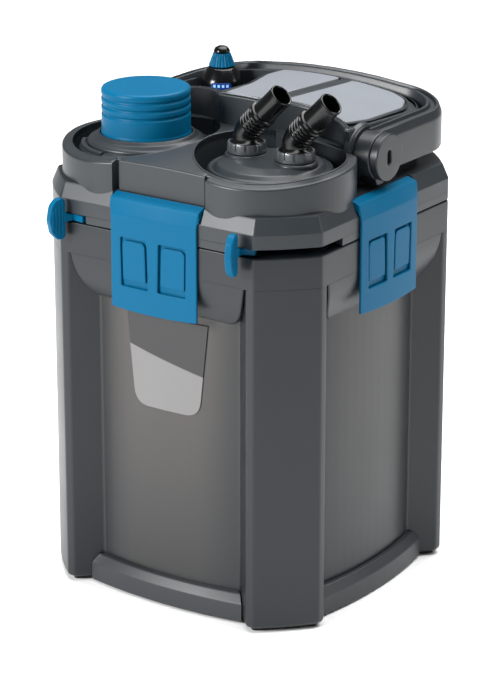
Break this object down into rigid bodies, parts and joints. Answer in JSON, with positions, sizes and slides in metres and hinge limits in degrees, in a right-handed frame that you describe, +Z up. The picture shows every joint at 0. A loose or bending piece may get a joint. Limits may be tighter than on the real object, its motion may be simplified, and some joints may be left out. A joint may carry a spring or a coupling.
{
  "type": "aquarium canister filter",
  "caption": "Square external canister filter with a clipped-on pump head, swinging handle, hose nozzles, hand primer, lift-out prefilter and heater.",
  "frame": {"origin": "centre of the footprint at the level the feet stand on", "axes": "+Z up, front with the data plate towards -Y, hose nozzles towards +X"},
  "size_m": [0.247, 0.2794, 0.3926],
  "materials": {
    "housing_grey": "satin, fine grain, warm dark grey",
    "slate_grey": "satin, fine grain, slate grey",
    "trim_grey": "satin, fine grain",
    "panel_grey": "satin, light grey",
    "clip_blue": "smooth, half gloss, blue",
    "gloss_black": "gloss black",
    "satin_black": "satin black",
    "nut_grey": "metallic grey, half gloss",
    "rubber_black": "matt",
    "plate_grey": "printed film in two greys, satin",
    "tray_grey": "satin",
    "foam_blue": "open-cell foam",
    "foam_orange": "open-cell foam",
    "ceramic_tan": "loose ceramic rings, shown as one block",
    "rotor_white": "smooth off-white",
    "heater_glass": "clear",
    "display_blue": "gloss",
    "magnet_grey": "satin",
    "spring_steel": "drawn wire"
  },
  "bodies": {
    "canister": {"canister_shell": "housing_grey", "base_trim_front": "trim_grey", "base_trim_right": "trim_grey", "base_trim_rear": "trim_grey", "base_trim_left": "trim_grey", "rubber_foot_front_left": "rubber_black", "rubber_foot_front_right": "rubber_black", "rubber_foot_rear_left": "rubber_black", "rubber_foot_rear_right": "rubber_black", "front_plate": "plate_grey", "media_tray_lower": "tray_grey", "coarse_foam": "foam_blue", "media_tray_middle": "tray_grey", "fine_foam": "foam_orange", "media_tray_upper": "tray_grey", "ceramic_media": "ceramic_tan"},
    "head": {"head_housing": "housing_grey", "head_base_plate": "satin_black", "head_seal": "rubber_black", "top_panel_left": "panel_grey", "top_panel_right": "panel_grey", "cable_gland": "rubber_black", "heater_head": "gloss_black", "heater_window": "display_blue", "heater_tube": "heater_glass", "motor_housing": "satin_black", "volute_cover": "satin_black", "pump_shaft": "rotor_white", "shaft_bush": "rubber_black"},
    "rotor": {"impeller": "rotor_white", "rotor_magnet": "magnet_grey"},
    "heater_dial": {"heater_dial_ring": "clip_blue", "heater_dial_cap": "gloss_black"},
    "handle": {"carry_handle": "slate_grey", "pivot_cap_left": "slate_grey", "pivot_cap_right": "slate_grey"},
    "prefilter": {"prefilter_head": "housing_grey", "prefilter_cage": "tray_grey", "prefilter_foam": "foam_orange", "primer_spring": "spring_steel"},
    "primer": {"primer_button": "clip_blue"},
    "connector": {"connector_plate": "housing_grey", "union_nut_inlet": "nut_grey", "union_nut_outlet": "nut_grey"},
    "nozzle_inlet": {"hose_nozzle_inlet": "gloss_black"},
    "nozzle_outlet": {"hose_nozzle_outlet": "gloss_black"},
    "lever_left": {"lock_lever_left": "clip_blue"},
    "lever_right": {"lock_lever_right": "clip_blue"},
    "clip_front": {"latch_front": "clip_blue", "latch_catch_front": "clip_blue"},
    "clip_right": {"latch_right": "clip_blue", "latch_catch_right": "clip_blue"},
    "clip_rear": {"latch_rear": "clip_blue", "latch_catch_rear": "clip_blue"},
    "clip_left": {"latch_left": "clip_blue", "latch_catch_left": "clip_blue"}
  },
  "joints": [
    {"name": "head_lift", "type": "slide", "parent": "canister", "child": "head", "axis": [0, 0, 1], "range_m": [0, 0.3]},
    {"name": "rotor_spin", "type": "hinge", "parent": "head", "child": "rotor", "pos_m": [0.05, 0.045, 0.27], "axis": [0, 0, 1], "continuous": true},
    {"name": "heater_dial_turn", "type": "hinge", "parent": "head", "child": "heater_dial", "pos_m": [-0.079, 0.075, 0.367], "axis": [0, 0, 1], "range_deg": [-135, 135]},
    {"name": "handle_swing", "type": "hinge", "parent": "head", "child": "handle", "pos_m": [0, 0.002, 0.337], "axis": [-1, 0, 0], "range_deg": [-90, 0]},
    {"name": "prefilter_lift", "type": "slide", "parent": "head", "child": "prefilter", "axis": [0, 0, 1], "range_m": [0, 0.3]},
    {"name": "primer_press", "type": "slide", "parent": "prefilter", "child": "primer", "axis": [0, 0, -1], "range_m": [0, 0.016], "stiffness_N_per_m": 600, "springref_m": -0.004, "deforming": ["primer_spring"]},
    {"name": "connector_lift", "type": "slide", "parent": "head", "child": "connector", "axis": [0, 0, 1], "range_m": [0, 0.08]},
    {"name": "nozzle_inlet_swivel", "type": "hinge", "parent": "connector", "child": "nozzle_inlet", "pos_m": [0.034, -0.054, 0.3505], "axis": [0, 0, 1], "range_deg": [-90, 90]},
    {"name": "nozzle_outlet_swivel", "type": "hinge", "parent": "connector", "child": "nozzle_outlet", "pos_m": [0.076, -0.054, 0.3505], "axis": [0, 0, 1], "range_deg": [-90, 90]},
    {"name": "lever_left_turn", "type": "hinge", "parent": "head", "child": "lever_left", "pos_m": [-0.055, -0.055, 0.289], "axis": [0, 0, -1], "range_deg": [0, 53]},
    {"name": "lever_right_turn", "type": "hinge", "parent": "head", "child": "lever_right", "pos_m": [0.055, -0.055, 0.289], "axis": [0, 0, 1], "range_deg": [0, 56]},
    {"name": "clip_front_open", "type": "hinge", "parent": "head", "child": "clip_front", "pos_m": [0, -0.1132, 0.3114], "axis": [-1, 0, 0], "range_deg": [0, 70]},
    {"name": "clip_right_open", "type": "hinge", "parent": "head", "child": "clip_right", "pos_m": [0.1132, 0, 0.3114], "axis": [0, -1, 0], "range_deg": [0, 70]},
    {"name": "clip_rear_open", "type": "hinge", "parent": "head", "child": "clip_rear", "pos_m": [0, 0.1132, 0.3114], "axis": [1, 0, 0], "range_deg": [0, 70]},
    {"name": "clip_left_open", "type": "hinge", "parent": "head", "child": "clip_left", "pos_m": [-0.1132, 0, 0.3114], "axis": [0, 1, 0], "range_deg": [0, 70]}
  ]
}
